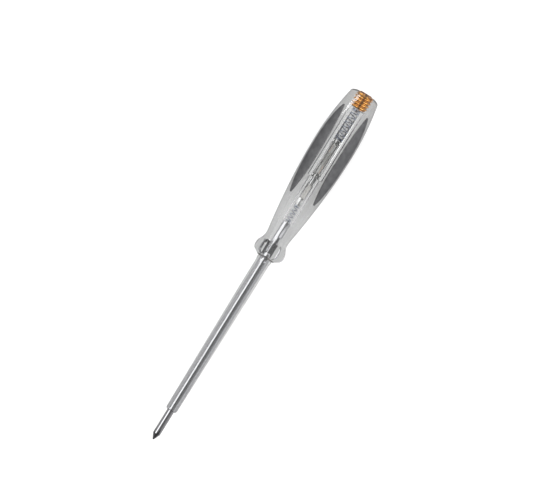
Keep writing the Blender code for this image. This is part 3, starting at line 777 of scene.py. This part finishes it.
def press_ears(blade, start, length, angle, offset, slide):
    """Presses the blade between a pair of ears and joins them on.

    A pair that stands off the axis is pressed on one side only.
    """
    end = start + length
    half = EAR_THICKNESS / 2
    for side in (-1,) if offset else (1, -1):
        across = sorted((side * (half - PRESS_COVER), side * PRESS_REACH))
        low = (start + PRESS_MARGIN, across[0], -PRESS_REACH)
        high = (end - PRESS_MARGIN, across[1], PRESS_REACH)
        combine(blade, block("press", low, high, PRESS_EDGE, angle))
    low = (start, offset - half, slide - EAR_REACH)
    high = (end, offset + half, slide + EAR_REACH)
    combine(blade, block("ear", low, high, EAR_EDGE, angle), "UNION")


def make_blade():
    outline = [
        (BLADE_START, 0.0),
        (BLADE_START, POINT_RADIUS),
        (BLADE_START + POINT_LENGTH, BLADE_RADIUS),
        (BLADE_BORE_END - BLADE_CHAMFER, BLADE_RADIUS),
        (BLADE_BORE_END, BLADE_RADIUS - BLADE_CHAMFER),
        (BLADE_BORE_END, 0.0),
    ]
    points, faces, _ = lofted(rounded(outline, BLADE_ROUND), BLADE_COLUMNS)
    blade = mesh_object("bright_blade", points, faces)
    for number in range(4):
        combine(blade, flute_wedge(number))
    for pair in EARS:
        press_ears(blade, *pair)
    for side in (1, -1):
        for across in MARKS:
            combine(blade, punch_mark(side, across))
    chrome = metal(
        "blade_chrome", (0.6, 0.6, 0.62), (0.66, 0.66, 0.68), 0.09, DRAWN, 1500.0, bumps=0.01
    )
    # Painted shade: darker than steel is, standing in for the dark reflections and shade in the
    # flutes
    flute_painted_shade = metal(
        "flute_steel_painted_shade", (0.03, 0.03, 0.032), (0.06, 0.06, 0.063), 0.35, DRAWN, 1500.0, bumps=0.03
    )
    settle(blade, [chrome, flute_painted_shade], ["blade"], "handle", BLADE_SHARP)
    # Faces of the flutes get the painted shade
    tip_end = (BLADE_START + FLUTE_LENGTH + FLUTE_MARGIN) * MM
    for face in blade.data.polygons:
        out = Vector((0.0, face.center.y, face.center.z - AXIS_HEIGHT * MM)).normalized()
        facing = Vector((0.0, face.normal.y, face.normal.z)).normalized()
        if face.center.x < tip_end and out.dot(facing) < FLUTE_FACING:
            face.material_index = 1


SLEEVE_START = -79.3
SLEEVE_END = 5.7
SLEEVE_BORE = 1.85
SLEEVE_ROUND = 0.35
SLEEVE_STEP = 2.0
# From the front edge over the bead ahead of the collar to the end in the handle's socket
SLEEVE_OUTLINE = (
    (SLEEVE_START, SLEEVE_BORE),
    (SLEEVE_START, 2.2),
    (SLEEVE_START + 0.8, 2.8),
    (SLEEVE_START + 68.0, 3.4),
    (2.6, 3.42),
    (3.1, 3.68),
    (4.3, 3.68),
    (4.32, 3.42),
    (SLEEVE_END, 3.42),
    (SLEEVE_END, SLEEVE_BORE),
)


def make_sleeve():
    plastic = clear_plastic("sleeve_clear", (0.93, 0.935, 0.935), 0.04, haze=0.04)
    seat = touching_plastic("sleeve_seat")
    outline = rounded_loop(SLEEVE_OUTLINE, SLEEVE_ROUND, steps=5)
    rows = []
    for (x0, r0), (x1, r1) in zip(outline, outline[1:] + outline[:1]):
        steps = max(1, int(abs(x1 - x0) / SLEEVE_STEP))
        rows += [(x0 + (x1 - x0) * i / steps, r0 + (r1 - r0) * i / steps) for i in range(steps)]
    points, faces, owners = lofted(rows, BLADE_COLUMNS, loop=True)
    sleeve = mesh_object("clear_sleeve", points, faces)
    settle(sleeve, [plastic, seat], ["blade_sleeve"], "handle")
    slots = [1 if radius < SLEEVE_BORE + 0.01 else 0 for _, radius in rows]
    sleeve.data.polygons.foreach_set("material_index", [slots[owner] for owner in owners])


# Springs, resistor, lamp and screw

COIL_STEPS = 40  # in a turn
COIL_SIDES = 14
CLOSED_PITCH = 2.15  # of the closed end turns, in radii of the wire
COIL_SMOOTHING = 0.2  # in turns
COIL_SHARP = math.radians(60)
SLOPE_STEP = 0.01


def coil(name, start, end, radius, wire, turns, dead):
    """A compression spring with dead closed turns at each end, as a tube along its route."""
    low, high = start + wire, end - wire
    closed = dead * wire * CLOSED_PITCH
    total = turns + dead * 2
    places = [0.0, dead, dead + turns, total]
    climb = box_mean(places, [low, low + closed, high - closed, high], COIL_SMOOTHING)
    count = int(total * COIL_STEPS)
    points = []
    for i in range(count + 1):
        turn = total * i / count
        angle = math.tau * turn
        rise = float(climb(turn + SLOPE_STEP)) - float(climb(turn - SLOPE_STEP))
        slope = rise / (SLOPE_STEP * 2) / (math.tau * radius)
        out = Vector((0.0, -math.sin(angle), math.cos(angle)))
        along = Vector((slope, -math.cos(angle), -math.sin(angle))).normalized()
        over = along.cross(out)
        centre = Vector((float(climb(turn)), 0.0, AXIS_HEIGHT)) + out * radius
        for j in range(COIL_SIDES):
            side = math.tau * j / COIL_SIDES
            off = (out * math.cos(side) + over * math.sin(side)) * wire
            points.append(tuple((centre + off) * MM))
    faces = []
    for first in range(0, count * COIL_SIDES, COIL_SIDES):
        following = first + COIL_SIDES
        for j in range(COIL_SIDES):
            k = (j + 1) % COIL_SIDES
            faces.append((first + j, first + k, following + k, following + j))
    for first in (0, count * COIL_SIDES):
        faces.append(tuple(range(first, first + COIL_SIDES)))
    return mesh_object(name, points, faces)


def make_springs():
    wire = metal(
        "spring_drawn", (0.3, 0.33, 0.4), (0.46, 0.5, 0.6), 0.2, EVEN, 2500.0, bumps=0.05
    )
    front = coil("front_coil", 24.8, 33.6, radius=1.6, wire=0.2, turns=4.0, dead=1.0)
    settle(front, [wire], ["front_spring"], sharp=COIL_SHARP)
    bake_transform(front)
    rear = coil("rear_coil", 69.5, 86.2, radius=2.64, wire=0.26, turns=6.0, dead=1.5)
    settle(rear, [wire], ["rear_spring"], sharp=COIL_SHARP)
    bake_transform(rear)


ROD = ((34.8, 0.0), (34.8, 1.5), (48.0, 1.5), (48.0, 0.0))
# A cap's outline from its face inwards, and where the face of each stands and which way it opens
CUP = ((0.0, 0.0), (0.0, 2.05), (3.9, 2.05), (3.9, 1.8), (0.6, 1.8), (0.6, 0.0))
CUP_FACES = (("front", 33.9, 1.0), ("rear", 48.9, -1.0))


def make_resistor():
    ceramic, tree, shader = new_material("resistor_glaze", Roughness=0.2)
    speckle = noise(tree, 1800.0, 4.0)
    tone = two_tone(tree, speckle, (0.5, 0.49, 0.47), (0.6, 0.59, 0.57))
    tree.links.new(tone, shader.inputs["Base Color"])
    tree.links.new(spread(tree, speckle, low=0.12, high=0.25), shader.inputs["Roughness"])
    bump(tree, shader, speckle, strength=0.05, distance=0.0001)
    tin = metal(
        "resistor_tinned", (0.62, 0.62, 0.62), (0.75, 0.75, 0.75), 0.2, TURNED, 900.0, bumps=0.04
    )
    nodes = ["resistor_body"]
    turned("ceramic_rod", ROD, ceramic, nodes, "contact_stack", 0.2)
    for name, face, step in CUP_FACES:
        outline = [(face + step * x, radius) for x, radius in CUP]
        nodes = [f"resistor_{name}_cap"]
        turned(f"tin_cup_{name}", outline, tin, nodes, "contact_stack", 0.12)


TUBE = ((50.9, 2.2), (50.9, 2.8), (67.5, 2.8), (67.5, 2.2))
DISC = ((0.0, 0.0), (0.0, 2.8), (1.4, 2.8), (1.4, 1.9), (2.4, 1.9), (2.4, 0.0))
DISC_FACES = (("front", 49.2, 1.0), ("rear", 69.2, -1.0))
LAMP_ROUND = 0.15


def paint_node(name, material):
    """Gives a solid that stays visible its material."""
    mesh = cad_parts[name].data
    mesh.materials.clear()
    mesh.materials.append(material)


def make_lamp():
    glass, tree, shader = new_material("lamp_clear", IOR=1.5, Transmission_Weight=1.0)
    shader.inputs["Base Color"].default_value = (0.97, 0.97, 0.96, 1.0)
    gloss = spread(tree, noise(tree, 300.0), low=0.01, high=0.05)
    tree.links.new(gloss, shader.inputs["Roughness"])
    let_lamps_through(tree, shader, 0.95)
    plate = metal(
        "lamp_plated", (0.58, 0.58, 0.57), (0.7, 0.7, 0.69), 0.22, TURNED, 1200.0, bumps=0.04
    )
    nickel = metal(
        "lamp_matt_nickel", (0.42, 0.41, 0.39), (0.54, 0.53, 0.51), 0.4, EVEN, 2500.0, bumps=0.08
    )
    along = (0.3, 1.0, 1.0)
    dumet = metal(
        "lamp_copper_clad", (0.5, 0.29, 0.19), (0.62, 0.38, 0.26), 0.3, along, 2500.0, bumps=0.05
    )
    nodes = ["lamp_glass"]
    turned("lamp_tube", TUBE, glass, nodes, "contact_stack", LAMP_ROUND, loop=True)
    for name, face, step in DISC_FACES:
        outline = [(face + step * x, radius) for x, radius in DISC]
        nodes = [f"lamp_{name}_cap"]
        turned(
            f"lamp_end_{name}", outline, plate, nodes, "contact_stack", LAMP_ROUND
        )
        paint_node(f"lamp_{name}_electrode", nickel)
        paint_node(f"lamp_{name}_lead", dumet)


SCREW_FACE = (0.0, 1.5, 2.5, 2.85)
SCREW_CHAMFER = 0.4
SLOT_DEPTH = 1.3
SLOT_HALF_WIDTH = 0.5
# A face gets the groove's painted shade when it lies this near to the thread's root and its normal
# is this radial
GROOVE_BELOW, GROOVE_ABOVE, GROOVE_FACING = 0.05, 0.2, 0.5


def make_screw():
    around = (1.0, 0.25, 0.25)
    brass = metal(
        "screw_turned", (0.82, 0.35, 0.06), (0.99, 0.5, 0.13), 0.2, around, 700.0, bumps=0.04
    )
    # Painted shade: darker than the brass, standing in for the shaded rings in the thread's roots
    groove_painted_shade = metal(
        "screw_groove_painted_shade", (0.45, 0.15, 0.02), (0.62, 0.25, 0.04), 0.25, around, 700.0, bumps=0.04
    )
    angles = np.arange(SCREW_COLUMNS) * math.tau / SCREW_COLUMNS
    profile = thread_profile(SCREW_FLANKS)
    rows = [(SCREW_START, radius) for radius in SCREW_FACE]
    for x in np.arange(SCREW_START + THREAD_STEP, SCREW_END - 0.01, THREAD_STEP):
        radii = thread_radii(profile, x, angles, SCREW_ROOT, SCREW_CREST)
        chamfer = SCREW_CREST - SCREW_CHAMFER + min(x - SCREW_START, SCREW_END - x)
        rows.append((x, np.minimum(radii, chamfer)))
    rows += [(SCREW_END, radius) for radius in reversed(SCREW_FACE)]
    points, faces, _ = lofted(rows, SCREW_COLUMNS)
    screw = mesh_object("brass_screw", points, faces)
    low = (SCREW_END - SLOT_DEPTH, -5.0, -SLOT_HALF_WIDTH)
    high = (SCREW_END + 1.0, 5.0, SLOT_HALF_WIDTH)
    combine(screw, block("slot", low, high))
    settle(screw, [brass, groove_painted_shade], ["end_screw"], "touch_screw")
    # Faces near the thread's root get the painted shade
    for face in screw.data.polygons:
        out = Vector((0.0, face.center.y, face.center.z - AXIS_HEIGHT * MM)) / MM
        facing = Vector((0.0, face.normal.y, face.normal.z))
        near_root = SCREW_ROOT - GROOVE_BELOW < out.length < SCREW_ROOT + GROOVE_ABOVE
        if near_root and out.normalized().dot(facing) > GROOVE_FACING:
            face.material_index = 1


def main():
    make_camera()
    for lamp in LAMPS:
        area_lamp(*lamp)
    make_world()
    make_floor()
    make_handle()
    make_inlays()
    make_blade()
    make_sleeve()
    make_springs()
    make_resistor()
    make_lamp()
    make_screw()


main()
